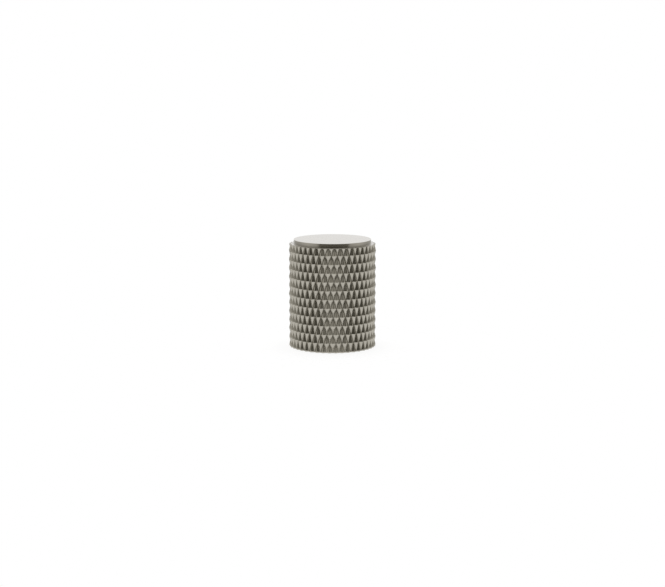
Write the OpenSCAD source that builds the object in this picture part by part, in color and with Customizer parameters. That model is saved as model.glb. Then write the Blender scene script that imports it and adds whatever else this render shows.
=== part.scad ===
// Knurled cylinder knob, turned from one bar of metal. A diamond knurl covers the whole grip, a plain
// boss stands on its upper end, and a tapped hole in the base takes the fixing screw.
// Millimetres, +Z up. The origin is the centre of the base face, on the axis of the hole.

/* [Grip] */
// Diameter over the points of the knurl
grip_d = 20; // [16:0.1:32]
// Height of the knurled grip
grip_h = 23.8; // [18:0.1:40]

/* [Knurl] */
// Distance between neighbouring points round one ring
point_pitch = 1.5; // [1.2:0.05:3]
// Height from one ring of points to the next
ring_pitch = 2.0; // [1.2:0.05:4]
// Depth of the V grooves below the points
groove_depth = 0.47; // [0.2:0.01:0.8]
// Height of the lowest whole ring of points above the base
first_ring_h = 0.2; // [0.1:0.05:1.1]
// Lean of the columns of points from upright, in degrees
column_lean = 1.0; // [-3:0.1:3]
// Turn of the knurl round the axis, in degrees
knurl_turn = 4.7; // [0:0.1:8]

/* [Boss] */
// Width of the ledge from the points of the knurl in to the boss
ledge_w = 1.1; // [0.9:0.05:3]
// Height of the boss above the ledge
boss_h = 1; // [0.4:0.1:4]
// Edge break round the face of the boss
boss_chamfer = 0.06; // [0.05:0.01:0.3]

/* [Screw hole] */
// Diameter of the hole's wall, drilled for an M4 thread
hole_d = 3.3; // [2.4:0.1:6]
// Depth of the straight wall, from the base to the cone that the drill leaves
hole_depth = 14; // [6:0.5:15]
// Included angle of that cone, in degrees
drill_point_angle = 118; // [90:1:140]
// Width of the countersink round the mouth of the hole
countersink_w = 0.5; // [0.2:0.05:1]

/* [Hidden] */
$fn = 180;
// What a cut or a joined solid runs past the face that it crosses
overrun = 0.5;

grip_r = grip_d / 2;
// The wheel of a knurling tool leaves a whole number of points round the bar
ring_points = round(PI * grip_d / point_pitch);
// Points and the groove crossings between them alternate round each ring
ring_steps = 2 * ring_points;
step_angle = 360 / ring_steps;
drift_angle = atan(ring_pitch * tan(column_lean) / grip_r);
// The rings run from one below the base to one above the grip, and both ends are then cut square
first_ring = -1;
last_ring = floor((grip_h - first_ring_h) / ring_pitch) + 1;

boss_r = grip_r - ledge_w;
hole_r = hole_d / 2;
drill_point_h = hole_r / tan(drill_point_angle / 2);

// A point of the knurl is at the full radius, and a groove crossing lies below it by the groove's depth
function is_point(ring, step) = (ring + step) % 2 == 0;
function knurl_r(ring, step) = is_point(ring, step) ? grip_r : grip_r - groove_depth;
function knurl_angle(ring, step) = knurl_turn - 90 + step * step_angle + ring * drift_angle;
function knurl_z(ring) = first_ring_h + ring * ring_pitch;
function knurl_vertex(ring, step) = [
    knurl_r(ring, step) * cos(knurl_angle(ring, step)),
    knurl_r(ring, step) * sin(knurl_angle(ring, step)),
    knurl_z(ring)
];

// Place of a vertex in the list of vertices, which goes round each ring in turn from the lowest
function at(ring, step) = (ring - first_ring) * ring_steps + step % ring_steps;
// Between two rings and two steps, two facets meet in the groove that joins the two crossings
function facets(ring, step) = is_point(ring, step)
    ? [[at(ring, step), at(ring + 1, step), at(ring, step + 1)],
       [at(ring, step + 1), at(ring + 1, step), at(ring + 1, step + 1)]]
    : [[at(ring, step), at(ring + 1, step + 1), at(ring, step + 1)],
       [at(ring, step), at(ring + 1, step), at(ring + 1, step + 1)]];

// The grip before its ends are cut: rings of raised points, with V grooves crossing between them
module knurled_bar() {
    steps = [0 : ring_steps - 1];
    vertices = [for (ring = [first_ring : last_ring]) for (step = steps) knurl_vertex(ring, step)];
    end_centres = [[0, 0, knurl_z(first_ring)], [0, 0, knurl_z(last_ring)]];
    low_centre = len(vertices);
    high_centre = low_centre + 1;
    sides = [for (ring = [first_ring : last_ring - 1]) for (step = steps) each facets(ring, step)];
    low_end = [for (step = steps) [low_centre, at(first_ring, step), at(first_ring, step + 1)]];
    high_end = [for (step = steps) [high_centre, at(last_ring, step + 1), at(last_ring, step)]];
    polyhedron(points = concat(vertices, end_centres), faces = concat(sides, low_end, high_end));
}

// The knurled grip, cut square at the base and at the ledge
module grip() {
    intersection() {
        knurled_bar();
        cylinder(r = grip_r + overrun, h = grip_h);
    }
}

// The plain boss, turned down from the same bar, so it runs on down into the grip
module boss() {
    boss_top = grip_h + boss_h;
    rotate_extrude()
        polygon([
            [0, grip_h - overrun],
            [boss_r, grip_h - overrun],
            [boss_r, boss_top - boss_chamfer],
            [boss_r - boss_chamfer, boss_top],
            [0, boss_top]
        ]);
}

// The drilled hole for the fixing screw, with its countersunk mouth and the cone that the drill leaves
module screw_hole() {
    translate([0, 0, -overrun])
        cylinder(r = hole_r, h = hole_depth + overrun);
    translate([0, 0, hole_depth])
        cylinder(r1 = hole_r, r2 = 0, h = drill_point_h);
    translate([0, 0, -overrun])
        cylinder(r1 = hole_r + countersink_w + overrun, r2 = hole_r, h = countersink_w + overrun);
}

module knob() {
    color([0.66, 0.62, 0.55])
        difference() {
            union() {
                grip();
                boss();
            }
            screw_hole();
        }
}

knob();
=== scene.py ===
import bmesh
import bpy
import numpy as np
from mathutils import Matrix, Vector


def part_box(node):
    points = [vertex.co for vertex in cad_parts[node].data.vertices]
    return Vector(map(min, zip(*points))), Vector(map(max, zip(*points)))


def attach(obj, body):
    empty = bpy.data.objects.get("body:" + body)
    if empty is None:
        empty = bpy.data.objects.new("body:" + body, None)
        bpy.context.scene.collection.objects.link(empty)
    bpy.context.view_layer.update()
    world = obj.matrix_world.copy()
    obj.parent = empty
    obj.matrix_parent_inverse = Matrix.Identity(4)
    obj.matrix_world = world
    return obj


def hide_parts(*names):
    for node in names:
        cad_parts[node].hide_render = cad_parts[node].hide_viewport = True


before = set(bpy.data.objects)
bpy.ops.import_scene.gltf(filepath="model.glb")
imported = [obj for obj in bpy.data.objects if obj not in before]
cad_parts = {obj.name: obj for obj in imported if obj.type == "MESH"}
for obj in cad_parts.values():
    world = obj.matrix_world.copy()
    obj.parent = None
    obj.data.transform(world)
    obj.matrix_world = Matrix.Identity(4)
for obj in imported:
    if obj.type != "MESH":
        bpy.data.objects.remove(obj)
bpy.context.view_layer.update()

# The camera looks at the knob from a little above, from far enough off that its sides look nearly
# parallel. Its place comes from the ellipses of the knob's face and foot in a frame of 665 by 587.
MM = 0.001
camera_distance = 360.5 * MM
camera_pitch = np.radians(9.34)
aim_height = 12.1 * MM
axis_offset = 0.023 * MM

camera_data = bpy.data.cameras.new("camera")
camera_data.sensor_width = 36.0
camera_data.lens = 84.5
camera_data.clip_start = 0.01
camera = bpy.data.objects.new("camera", camera_data)
camera.location = (
    axis_offset,
    -camera_distance * np.cos(camera_pitch),
    aim_height + camera_distance * np.sin(camera_pitch),
)
camera.rotation_euler = (np.pi / 2 - camera_pitch, 0.0, 0.0)
bpy.context.scene.collection.objects.link(camera)
bpy.context.scene.camera = camera


# The studio is a white tent: white cloth behind and overhead, grey cloth at the sides, and a dim
# opening on the camera's side. The camera sees plain white behind the knob, as white as the back cloth.
def new_nodes(owner):
    """Gives a world or a material an empty node tree, and returns the function that adds its nodes."""
    owner.use_nodes = True
    tree = owner.node_tree
    tree.nodes.clear()

    def add(kind, inputs=(), **settings):
        """One new node with its settings, each of its inputs set to a value or fed by an output."""
        node = tree.nodes.new(kind)
        for name, value in settings.items():
            setattr(node, name, value)
        for socket, value in dict(inputs).items():
            if isinstance(value, bpy.types.NodeSocket):
                tree.links.new(value, node.inputs[socket])
            else:
                node.inputs[socket].default_value = value
        return node

    return add


def math(add, operation, *values):
    """One arithmetic step on two or three values."""
    return add("ShaderNodeMath", dict(enumerate(values)), operation=operation).outputs[0]


def smooth_step(add, value, low, high, start=0.0, end=1.0):
    """A value that turns smoothly from start to end while the input rises from low to high."""
    step = add(
        "ShaderNodeMapRange",
        {"Value": value, "From Min": low, "From Max": high, "To Min": start, "To Max": end},
        interpolation_type="SMOOTHSTEP",
    )
    return step.outputs["Result"]


def blend(add, share, first, second, how="MIX"):
    """One colour at a share of 0 and the other at 1. In a Mix node, inputs 6 and 7 and output 2 are the
    colours."""
    inputs = {0: share, 6: first, 7: second}
    return add("ShaderNodeMix", inputs, data_type="RGBA", blend_type=how).outputs[2]


def ramp(add, value, stops):
    """A colour that runs through the stops, each the value at which it is reached and the colour."""
    node = add("ShaderNodeValToRGB", {0: value})
    elements = node.color_ramp.elements
    while len(elements) < len(stops):
        elements.new(0.5)
    for element, (place, colour) in zip(elements, stops):
        element.position = place
        element.color = (*colour, 1.0)
    return node.outputs[0]


def lookers(add):
    """Two values, each 1 or 0: whether the camera looks, and whether a reflection in the metal does."""
    path = add("ShaderNodeLightPath").outputs
    return path["Is Camera Ray"], math(add, "ADD", path["Is Glossy Ray"], path["Is Transmission Ray"])


def grey(tone):
    """An opaque colour with the same share of red, green and blue."""
    return (tone, tone, tone, 1.0)


# Each stop is a turn from the tent's opening, as a share of half a circle, and the colour there
tent_wall = [
    (0.0, (0.055, 0.050, 0.037)),
    (0.10, (0.070, 0.065, 0.050)),
    (0.19, (0.12, 0.113, 0.095)),
    (0.24, (0.26, 0.252, 0.227)),
    (0.45, (0.48, 0.47, 0.44)),
    (0.60, (0.70, 0.693, 0.67)),
    (0.72, (0.86, 0.853, 0.835)),
    (0.88, (1.0, 1.0, 1.0)),
    (1.0, (1.0, 1.0, 1.0)),
]
tent_skirt = [
    (0.0, (0.10, 0.093, 0.077)),
    (0.23, (0.13, 0.122, 0.10)),
    (0.28, (0.45, 0.44, 0.41)),
    (0.45, (0.58, 0.57, 0.54)),
    (0.68, (0.45, 0.445, 0.425)),
    (1.0, (0.48, 0.48, 0.46)),
]
tent_ground = [
    (0.0, (0.98, 0.98, 0.98)),
    (0.50, (0.98, 0.98, 0.98)),
    (0.58, (0.90, 0.90, 0.89)),
    (0.66, (0.60, 0.60, 0.59)),
    (0.74, (0.43, 0.43, 0.42)),
    (1.0, (0.48, 0.48, 0.47)),
]

# Where one part of the tent turns into the next, as the z of a direction of length 1
ground_edge = (-0.34, -0.2)
horizon_edge = (-0.02, 0.02)
roof_edge = (0.35, 0.8)
# The turns between which the metal comes to see the plain white behind the knob, not the tent
back_edge = (0.86, 0.97)


def light_studio(roof=grey(0.98), strength=1.04, opening_turn=np.radians(4.0)):
    """The tent's light by direction: the wall above the horizon, the skirt below it, the ground below
    that, and the roof. The turn is the direction's angle on the ground from the tent's opening, a little
    to the camera's right, over half a circle. The camera sees plain white, and so does the metal behind
    the knob."""
    world = bpy.data.worlds.new("tent")
    bpy.context.scene.world = world
    add = new_nodes(world)
    direction = add("ShaderNodeSeparateXYZ", {0: add("ShaderNodeTexCoord").outputs["Generated"]})
    x, y, z = direction.outputs
    angle = math(add, "ARCTAN2", x, math(add, "MULTIPLY", y, -1.0))
    either_way = math(add, "ABSOLUTE", math(add, "SUBTRACT", angle, opening_turn))
    turn = math(add, "DIVIDE", either_way, np.pi)
    above = smooth_step(add, z, *horizon_edge)
    walls = blend(add, above, ramp(add, turn, tent_skirt), ramp(add, turn, tent_wall))
    tent = blend(add, smooth_step(add, z, *roof_edge), walls, roof)
    tent = blend(add, smooth_step(add, z, *ground_edge), ramp(add, turn, tent_ground), tent)
    light = add("ShaderNodeBackground", {"Color": tent, "Strength": strength})
    plain = add("ShaderNodeBackground", {"Color": grey(1.0), "Strength": 1.0})
    by_camera, by_metal = lookers(add)
    behind = smooth_step(add, turn, *back_edge)
    seen = math(add, "MULTIPLY_ADD", by_metal, behind, by_camera)
    either = add("ShaderNodeMixShader", {0: seen, 1: light.outputs[0], 2: plain.outputs[0]})
    add("ShaderNodeOutputWorld", {"Surface": either.outputs[0]})


light_studio()


# The floor is a round sheet of matt white card under the knob, which fades into the tent's white
# ground. The camera and the metal see it as white as that, with the knob's soft shadow. It shows from
# above only.
card_r = 28 * MM
card_z = -0.02 * MM
card_sides = 96


def card_material(lift=0.8, card_white=0.9, kept_shade=0.3, plain_r=11 * MM):
    """Matt card. For the camera and for reflections it has a white glow and keeps a share of its shade.
    It turns clear between its plain middle and its rim."""
    material = bpy.data.materials.new("white_card")
    add = new_nodes(material)
    card = add("ShaderNodeBsdfDiffuse", {"Color": grey(card_white)})
    dim_card = add("ShaderNodeBsdfDiffuse", {"Color": grey(card_white * kept_shade)})
    glow = add("ShaderNodeEmission", {"Color": grey(1.0), "Strength": lift})
    lifted = add("ShaderNodeAddShader", {0: dim_card.outputs[0], 1: glow.outputs[0]})
    looks = math(add, "ADD", *lookers(add))
    seen = add("ShaderNodeMixShader", {0: looks, 1: card.outputs[0], 2: lifted.outputs[0]})
    clear = add("ShaderNodeBsdfTransparent")
    place = add("ShaderNodeTexCoord").outputs["Object"]
    radius = add("ShaderNodeVectorMath", {0: place}, operation="LENGTH").outputs["Value"]
    plain = smooth_step(add, radius, plain_r, card_r, start=1.0, end=0.0)
    below = add("ShaderNodeNewGeometry").outputs["Backfacing"]
    shown = math(add, "MULTIPLY", plain, math(add, "SUBTRACT", 1.0, below))
    faded = add("ShaderNodeMixShader", {0: shown, 1: clear.outputs[0], 2: seen.outputs[0]})
    add("ShaderNodeOutputMaterial", {"Surface": faded.outputs[0]})
    return material


card_turn = np.linspace(0.0, 2 * np.pi, card_sides, endpoint=False)
card_rim = np.stack(
    [card_r * np.cos(card_turn), card_r * np.sin(card_turn), np.full(card_sides, card_z)], axis=-1
)
card_mesh = bpy.data.meshes.new("white_card")
card_mesh.from_pydata(card_rim.tolist(), [], [list(range(card_sides))])
card_mesh.materials.append(card_material())
card = bpy.data.objects.new("white_card", card_mesh)
bpy.context.scene.collection.objects.link(card)

# The knob is one bar of steel with a satin nickel finish. It was turned to size, its grip was rolled
# between two knurling wheels, and its base was faced, drilled and tapped M4 for a screw from behind.
knob_low, knob_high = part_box("knob")
grip_r = (knob_high.x - knob_low.x) / 2
face_z = knob_high.z
boss_h = 1.0 * MM
grip_h = face_z - boss_h
ledge_w = 1.1 * MM
boss_r = grip_r - ledge_w

ring_points = 42
ring_pitch = 2.0 * MM
first_ring_h = 0.2 * MM
groove_depth = 0.47 * MM
# How far the flanks would fall from a point to a groove without their rounding and their dome
flank_depth = 0.65 * MM
column_lean = np.radians(1.0)
knurl_turn = np.radians(4.7)
# The rings run from one below the base to one above the grip, and both ends are cut square
ring_numbers = np.arange(-1, int(np.floor((grip_h - first_ring_h) / ring_pitch)) + 2)

ledge_break = 0.015 * MM
foot_break = 0.05 * MM
# How far the painted shade in the corner under the boss reaches out over the ledge
corner_shade_w = 0.9 * MM
# Both ends of the grip are plain from a little inside the grooves
end_margin = 0.15 * MM
plain_end_r = grip_r - groove_depth - end_margin
base_middle_r = 6.0 * MM
base_inner_r = 2.6 * MM

hole_r = 1.65 * MM
countersink_w = 0.5 * MM
hole_depth = 14.0 * MM
drill_half_angle = np.radians(59.0)
thread_pitch = 0.7 * MM
thread_depth = 0.33 * MM
thread_length = 11.0 * MM
rows_a_pitch = 8
hole_columns = 72


def ring_corners(
    steps, seed=11, radius_scatter=0.012 * MM, angle_scatter=np.radians(0.11), height_scatter=0.02 * MM
):
    """The knurl's points and groove crossings, by ring and step, with the first step again at the end.
    They alternate round a ring, and the lean turns each ring a little on from the one below. Each has a
    slight scatter inwards, in its angle and in its height, as a rolled knurl's do."""
    scatter = np.random.default_rng(seed).normal(size=(3, ring_numbers.size, steps))
    ring, step = np.meshgrid(ring_numbers, np.arange(steps), indexing="ij")
    is_point = (ring + step) % 2 == 0
    drift = ring_pitch * np.tan(column_lean) / grip_r
    r = grip_r - np.where(is_point, 0.0, flank_depth) - radius_scatter * np.abs(scatter[0])
    angle = knurl_turn + step * 2 * np.pi / steps + ring * drift + angle_scatter * scatter[1]
    z = first_ring_h + ring * ring_pitch + height_scatter * scatter[2]
    corners = np.stack([r * np.sin(angle), -r * np.cos(angle), z], axis=-1)
    return np.concatenate([corners, corners[:, :1]], axis=1)


def column_shares(groove, edge=(0.07, 0.25), flank=(0.38, 0.65), floor=(0.12, 0.4)):
    """Where the columns of a row cross one cell, as shares of its width: from the upright ridge at its
    left to the groove, and from there to the next ridge. Beside the groove they keep their distance from
    it, so that they run along the flank, and they close up where the flank narrows to its end. Each pair
    holds a distance and the largest share of the flank's width that it may take."""
    left, right = groove, 1.0 - groove

    def apart(pair, width):
        """A pair's distance, or its share of the width where that is less."""
        return np.minimum(pair[0], pair[1] * width)

    return np.stack(
        [
            np.zeros_like(groove),
            apart(edge, left),
            left - apart(flank, left),
            left - apart(floor, left),
            left,
            left + apart(floor, right),
            left + apart(flank, right),
            1.0 - apart(edge, right),
        ],
        axis=-1,
    )


def knurled_wall(heights, ridge_round=0.03, ring_round=0.03, floor_round=0.03, dome=0.4):
    """The knurled wall as rows by columns of places, with each place's level above the groove's floor.
    Every facet lies between one point and two crossings. Its distances from the two ridges through the
    point are softened as the root of x squared plus a small width squared, and so is its floor. Its
    slope falls by the dome's share from the groove to the point, and the points are at the full
    radius."""
    steps = 2 * ring_points
    corners = ring_corners(steps)
    # A cell lies between two rings and two steps, with u the share of the way across it and v up it
    share = (heights - first_ring_h) / ring_pitch
    ring = np.floor(share).astype(int)
    v = (share - ring)[:, None, None]
    ring = ring[:, None, None]
    step = np.arange(steps)[None, :, None]
    even = (ring + step) % 2 == 0
    groove = np.where(even, 1.0 - v, v + 0.0 * step)[..., 0]
    u = column_shares(groove)
    # The groove parts the cell into a lower and an upper facet, each with its one point opposite it
    upper = np.where(even, u + v > 1.0, u < v)
    up = upper.astype(int)
    across = np.where(even, up, 1 - up)
    row = ring - ring_numbers[0]
    point = corners[row + up, step + across]
    beside = corners[row + up, step + 1 - across]
    over = corners[row + 1 - up, step + across]
    from_upright = np.abs(u - across)
    from_ring = np.abs(v - up)
    place = (
        point * (1.0 - from_upright - from_ring)[..., None]
        + beside * from_upright[..., None]
        + over * from_ring[..., None]
    )
    soft_upright = np.hypot(from_upright, ridge_round)
    soft_ring = np.hypot(from_ring, ring_round)
    level = np.hypot(np.maximum(1.0 - soft_upright - soft_ring, 0.0), floor_round)
    top_level = np.hypot(1.0 - ridge_round - ring_round, floor_round)
    fall = (top_level - level) * (1.0 - dome * (top_level + level) / 2)
    shift = (from_upright + from_ring - fall) * flank_depth
    r = np.hypot(place[..., 0], place[..., 1])
    place[..., :2] *= ((r + shift) / r)[..., None]
    place[..., 2] = heights[:, None, None]
    rows = heights.size
    return place.reshape(rows, -1, 3), level.reshape(rows, -1)


def turned_rows(radii, heights, angles):
    """Rows of a turned surface. Each is a circle at its own radius and height, with a place at each
    angle."""
    r, z = np.asarray(radii)[:, None], np.asarray(heights)[:, None]
    return np.stack([r * np.sin(angles), -r * np.cos(angles), z + 0.0 * angles], axis=-1)


def arc(centre_r, centre_z, radius, start, end, count):
    """Radii and heights along an arc of a turned profile, from one angle to another. The angles are in
    degrees, up from the outward direction."""
    turn = np.radians(np.linspace(start, end, count))
    return centre_r + radius * np.cos(turn), centre_z + radius * np.sin(turn)


def boss_profile(
    bevel=0.06 * MM, fillet=0.05 * MM, hold=0.015 * MM, face_shares=(0.02, 0.3, 0.6, 0.85)
):
    """Radii and heights from the middle of the face down the boss and out along the ledge. A point close
    to each end of an arc keeps the flats beside it flat."""
    face_r = np.append(boss_r * np.array(face_shares), boss_r - bevel - hold)
    bevel_r, bevel_z = arc(boss_r - bevel, face_z - bevel, bevel, start=90, end=0, count=5)
    wall_z = [face_z - bevel - hold, grip_h + fillet + hold]
    fillet_r, fillet_z = arc(boss_r + fillet, grip_h + fillet, fillet, start=180, end=270, count=4)
    ledge_r = [boss_r + fillet + hold, plain_end_r]
    return (
        np.concatenate([face_r, bevel_r, [boss_r, boss_r], fillet_r, ledge_r]),
        np.concatenate([np.full(face_r.size, face_z), bevel_z, wall_z, fillet_z, [grip_h, grip_h]]),
    )


def broken_edge(row, inset, end_z):
    """The row that a small edge break leaves on a flat end: the given row, moved in by the break."""
    r, turn = np.hypot(row[:, 0], row[:, 1]) - inset, np.arctan2(row[:, 0], -row[:, 1])
    return np.stack([r * np.sin(turn), -r * np.cos(turn), np.full(r.size, end_z)], axis=-1)[None]


def outside_rows(row_shares=(0.0, 0.045, 0.2, 0.4, 0.6, 0.8, 0.955), row_gap=0.015 * MM):
    """The outside as rows of places, from the middle of the face down the knurl and in across the base,
    then each place's level, and the first and the number of the knurled rows. The knurl has a row at
    each share of the way from one ring to the next, but none in the gap beside the rows at its ends. The
    plain rows' level rises to 1 with the distance from the corner under the boss."""
    ring_heights = first_ring_h + ring_pitch * (ring_numbers[:, None] + np.array(row_shares)).ravel()
    high_ends = grip_h - np.array([ledge_break, 4 * ledge_break])
    low_ends = np.array([2 * foot_break, foot_break])
    between = (ring_heights > low_ends[0] + row_gap) & (ring_heights < high_ends[1] - row_gap)
    heights = np.concatenate([high_ends, ring_heights[between][::-1], low_ends])
    wall, wall_level = knurled_wall(heights)
    columns = wall.shape[1]
    lower_turn = knurl_turn + np.arange(columns) * 2 * np.pi / columns
    upper_turn = lower_turn + (grip_h - first_ring_h) * np.tan(column_lean) / grip_r
    upper = turned_rows(*boss_profile(), upper_turn)
    lower = turned_rows([plain_end_r, base_middle_r, base_inner_r], [0.0, 0.0, 0.0], lower_turn)
    outside = np.concatenate(
        [
            upper,
            broken_edge(wall[0], ledge_break, grip_h),
            wall,
            broken_edge(wall[-1], foot_break, 0.0),
            lower,
        ]
    )
    from_axis = np.hypot(outside[..., 0], outside[..., 1])
    from_corner = np.hypot(from_axis - boss_r, outside[..., 2] - grip_h)
    # The plain rows' level sets how much painted shade the corner under the boss gets
    level = np.minimum(from_corner / corner_shade_w, 1.0)
    first_wall = len(upper) + 1
    level[first_wall : first_wall + len(wall)] = wall_level
    return outside, level, first_wall, len(wall)


def threaded_rows(heights, angles, crest=0.25, flank=0.65):
    """Rows of the tapped hole. The radius is the drilled wall's plus the depth of a V groove, or the
    countersink's where that is wider. The crest and the flanks each take their share of the pitch. The
    groove falls by one pitch in a turn anticlockwise, seen from above, so it is left-handed, and it runs
    out at its upper end."""
    z = heights[:, None]
    turn = (z / thread_pitch + angles / (2 * np.pi)) % 1.0
    groove = np.clip((np.abs(2.0 * turn - 1.0) - crest) / flank, 0.0, 1.0)
    run_out = np.clip((thread_length - z) / thread_pitch, 0.0, 1.0)
    r = np.maximum(hole_r + thread_depth * groove * run_out, hole_r + countersink_w - z)
    return np.stack([r * np.sin(angles), -r * np.cos(angles), z + 0.0 * angles], axis=-1)


def hole_rows(tip=0.03):
    """The hole as rows of places, from its mouth up the thread and on up the drill's cone to the last
    row before its point, and the height of that point."""
    turn = np.arange(hole_columns) * 2 * np.pi / hole_columns + knurl_turn
    thread_z = np.arange(0.0, thread_length + thread_pitch, thread_pitch / rows_a_pitch)
    cone_h = hole_r / np.tan(drill_half_angle)
    cone = turned_rows([hole_r, tip * hole_r], [hole_depth, hole_depth + (1 - tip) * cone_h], turn)
    return np.concatenate([threaded_rows(thread_z, turn), cone]), hole_depth + cone_h


def row_faces(first, rows, columns):
    """Quads between neighbouring rows of a closed grid whose first place has the given index."""
    row = first + columns * np.arange(rows - 1)[:, None]
    here, there = np.arange(columns), (np.arange(columns) + 1) % columns
    quads = np.stack([row + here, row + columns + here, row + columns + there, row + there], axis=-1)
    return quads.reshape(-1, 4)


def fan_faces(centre, first, columns, outward):
    """Triangles from one place to the row round it."""
    here, there = first + np.arange(columns), first + (np.arange(columns) + 1) % columns
    middle = np.full(columns, centre)
    pair = (here, there) if outward else (there, here)
    return np.stack([middle, *pair], axis=-1)


def stitch_faces(fine_first, fine, coarse_first, coarse):
    """Triangles between a row of many places and one of fewer, each fine place going to the nearest."""
    index = np.arange(fine)
    following = (index + 1) % fine
    near = coarse_first + ((index * coarse + fine // 2) // fine) % coarse
    near_next = coarse_first + ((following * coarse + fine // 2) // fine) % coarse
    main = np.stack([fine_first + index, near, fine_first + following], axis=-1)
    turn = near != near_next
    extra = np.stack([fine_first + following, near, near_next], axis=-1)[turn]
    return np.concatenate([main, extra])


# Each face's finish is the place of its material in the mesh
knurled, turned, tapped = 0, 1, 2


def knob_mesh(merge_distance=0.0005 * MM):
    """Joins the rows into one closed mesh, with each face's finish and each place's level, and merges
    the columns that meet at each groove crossing."""
    outside, level, first_wall, wall_rows = outside_rows()
    hole, hole_end = hole_rows()
    rows, columns = outside.shape[:2]
    hole_first = rows * columns
    hole_last = hole_first + (len(hole) - 1) * hole_columns
    face_centre = hole_last + hole_columns
    places = np.concatenate(
        [outside.reshape(-1, 3), hole.reshape(-1, 3), [[0.0, 0.0, face_z], [0.0, 0.0, hole_end]]]
    )
    levels = np.ones(len(places))
    levels[: level.size] = level.ravel()
    outside_quads = row_faces(0, rows, columns)
    outside_finish = np.full(len(outside_quads), turned)
    outside_finish[(first_wall - 1) * columns : (first_wall + wall_rows) * columns] = knurled
    parts = [
        (outside_quads, outside_finish),
        (row_faces(hole_first, len(hole), hole_columns), tapped),
        (fan_faces(face_centre, 0, columns, outward=True), turned),
        (stitch_faces((rows - 1) * columns, columns, hole_first, hole_columns), turned),
        (fan_faces(face_centre + 1, hole_last, hole_columns, outward=False), tapped),
    ]
    finishes = np.concatenate([np.full(len(faces), finish) for faces, finish in parts])
    mesh = bpy.data.meshes.new("knob_skin")
    mesh.from_pydata(places.tolist(), [], [face for faces, _ in parts for face in faces.tolist()])
    mesh.polygons.foreach_set("material_index", finishes.astype(np.int32))
    mesh.attributes.new("level", "FLOAT", "POINT").data.foreach_set("value", levels.astype(np.float32))
    mesh.shade_smooth()
    merged = bmesh.new()
    merged.from_mesh(mesh)
    bmesh.ops.remove_doubles(merged, verts=merged.verts, dist=merge_distance)
    merged.to_mesh(mesh)
    merged.free()
    return mesh


nickel = (0.442, 0.42, 0.366, 1.0)
turned_tone = (0.515, 0.488, 0.441, 1.0)
# The dark colour of the painted shade in the grooves and in the corner under the boss; the tapped hole's
# wall is blotched with it too
painted_shade_and_blotch = (0.13, 0.117, 0.085, 1.0)
cloud_wave = 4.0 * MM


def noise(add, place, wave, detail=2.0):
    """Noise about 0.5, with waves of the given length in metres."""
    inputs = {"Vector": place, "Scale": 1.0 / wave, "Detail": detail}
    return add("ShaderNodeTexNoise", inputs).outputs[0]


def line_noise(add, along, wave, detail=2.0):
    """Noise about 0.5 that changes along one distance only, so that it makes lines across it."""
    inputs = {"W": along, "Scale": 1.0 / wave, "Detail": detail}
    return add("ShaderNodeTexNoise", inputs, noise_dimensions="1D").outputs[0]


def shaded(add, colour, cloud, depth):
    """A colour that gets lighter and darker by a share of its depth with noise about 0.5."""
    factor = math(add, "MULTIPLY_ADD", cloud, depth, 1.0 - depth / 2)
    tone = add("ShaderNodeCombineColor", {0: factor, 1: factor, 2: factor}).outputs[0]
    return blend(add, 1.0, colour, tone, how="MULTIPLY")


def metal_skin(name):
    """A new material for bare metal, as the function that adds its nodes, the place on the piece, and
    the function that closes it."""
    material = bpy.data.materials.new(name)
    add = new_nodes(material)
    place = add("ShaderNodeTexCoord").outputs["Object"]

    def close(colour, roughness, height, depth):
        """Gives the metal its colour, its roughness and a relief of the height, at a depth in metres."""
        relief = add("ShaderNodeBump", {"Height": height, "Distance": depth}).outputs[0]
        inputs = {"Base Color": colour, "Metallic": 1.0, "Roughness": roughness, "Normal": relief}
        skin = add("ShaderNodeBsdfPrincipled", inputs)
        add("ShaderNodeOutputMaterial", {"Surface": skin.outputs[0]})
        return material

    return add, place, close


def knurled_nickel(cloud_depth=0.16, gloss_drift=0.1, grain_wave=0.12 * MM, grain_depth=0.002 * MM):
    """Rolled nickel. Its tone and gloss drift a little over the bar, the crests are rubbed smoother, and
    painted shade darkens it low in the grooves, where the shade falls. A fine grain covers all of it."""
    add, place, close = metal_skin("knurled_nickel")
    level = add("ShaderNodeAttribute", attribute_name="level").outputs["Fac"]
    cloud = noise(add, place, cloud_wave)
    # Painted shade: up to 0.4 of the dark colour low in the grooves, where the shade falls
    painted_shade_share = smooth_step(add, level, low=0.02, high=0.3, start=0.4, end=0.0)
    colour = blend(add, painted_shade_share, shaded(add, nickel, cloud, cloud_depth), painted_shade_and_blotch)
    rubbed = smooth_step(add, level, low=0.5, high=1.0, start=0.19, end=0.15)
    roughness = math(add, "MULTIPLY_ADD", cloud, gloss_drift, rubbed)
    return close(colour, roughness, noise(add, place, grain_wave, detail=3.0), grain_depth)


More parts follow.
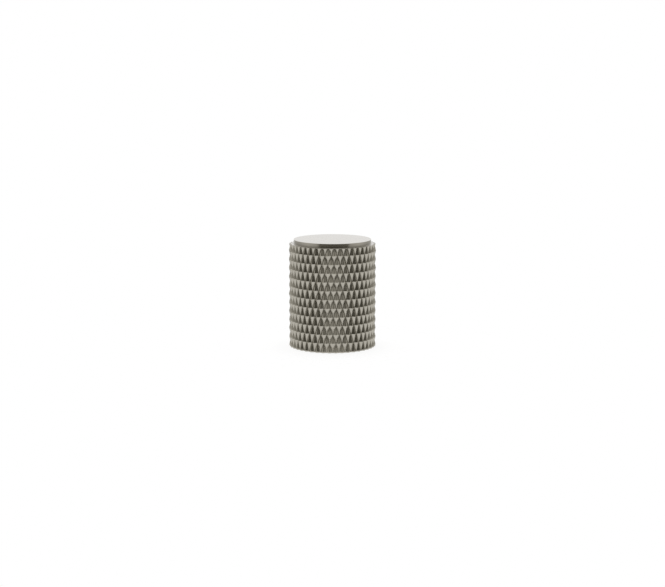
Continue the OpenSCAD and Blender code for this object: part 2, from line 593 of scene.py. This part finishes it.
def turned_nickel(cloud_depth=0.08, line_wave=0.1 * MM, line_tone=0.12, line_depth=0.0008 * MM):
    """Turned nickel. The tool left fine circles about 0.1 mm apart on the flats, and rings as fine round
    the boss. They follow the distance from the axis less the height, which changes on both. Painted
    shade darkens the corner under the boss, where the shade falls, and thins out over the ledge."""
    add, place, close = metal_skin("turned_nickel")
    x, y, z = add("ShaderNodeSeparateXYZ", {0: place}).outputs
    across = add("ShaderNodeCombineXYZ", {0: x, 1: y}).outputs[0]
    radius = add("ShaderNodeVectorMath", {0: across}, operation="LENGTH").outputs["Value"]
    along = math(add, "SUBTRACT", radius, z)
    lines = line_noise(add, along, line_wave)
    cloud = noise(add, place, cloud_wave)
    level = add("ShaderNodeAttribute", attribute_name="level").outputs["Fac"]
    # Painted shade: up to half the dark colour in the corner under the boss, thinning out over the ledge
    painted_shade_share = smooth_step(add, level, low=0.05, high=0.75, start=0.5, end=0.0)
    clean = shaded(add, shaded(add, turned_tone, cloud, cloud_depth), lines, line_tone)
    colour = blend(add, painted_shade_share, clean, painted_shade_and_blotch)
    line_roughness, least_roughness = 0.1, 0.1
    roughness = math(add, "MULTIPLY_ADD", lines, line_roughness, least_roughness)
    return close(colour, roughness, lines, line_depth)


def tapped_nickel(blotch_wave=1.5 * MM, line_wave=0.08 * MM, line_depth=0.002 * MM):
    """The tapped hole's wall, duller, darker in blotches of noise towards the painted shade's dark
    colour, and with the tap's lines along the thread.
    """
    add, place, close = metal_skin("tapped_nickel")
    height = add("ShaderNodeSeparateXYZ", {0: place}).outputs[2]
    lines = line_noise(add, height, line_wave)
    cloud = noise(add, place, blotch_wave)
    # The wall is darkened in blotches of noise towards the dark colour of the painted shade
    colour = blend(add, cloud, nickel, painted_shade_and_blotch)
    line_roughness, least_roughness = 0.12, 0.24
    roughness = math(add, "MULTIPLY_ADD", lines, line_roughness, least_roughness)
    return close(colour, roughness, lines, line_depth)


skin_mesh = knob_mesh()
for finish in (knurled_nickel(), turned_nickel(), tapped_nickel()):
    skin_mesh.materials.append(finish)
knob_skin = bpy.data.objects.new("knob_skin", skin_mesh)
bpy.context.scene.collection.objects.link(knob_skin)
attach(knob_skin, "root")
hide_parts("knob")

bpy.context.scene.view_settings.view_transform = "Standard"
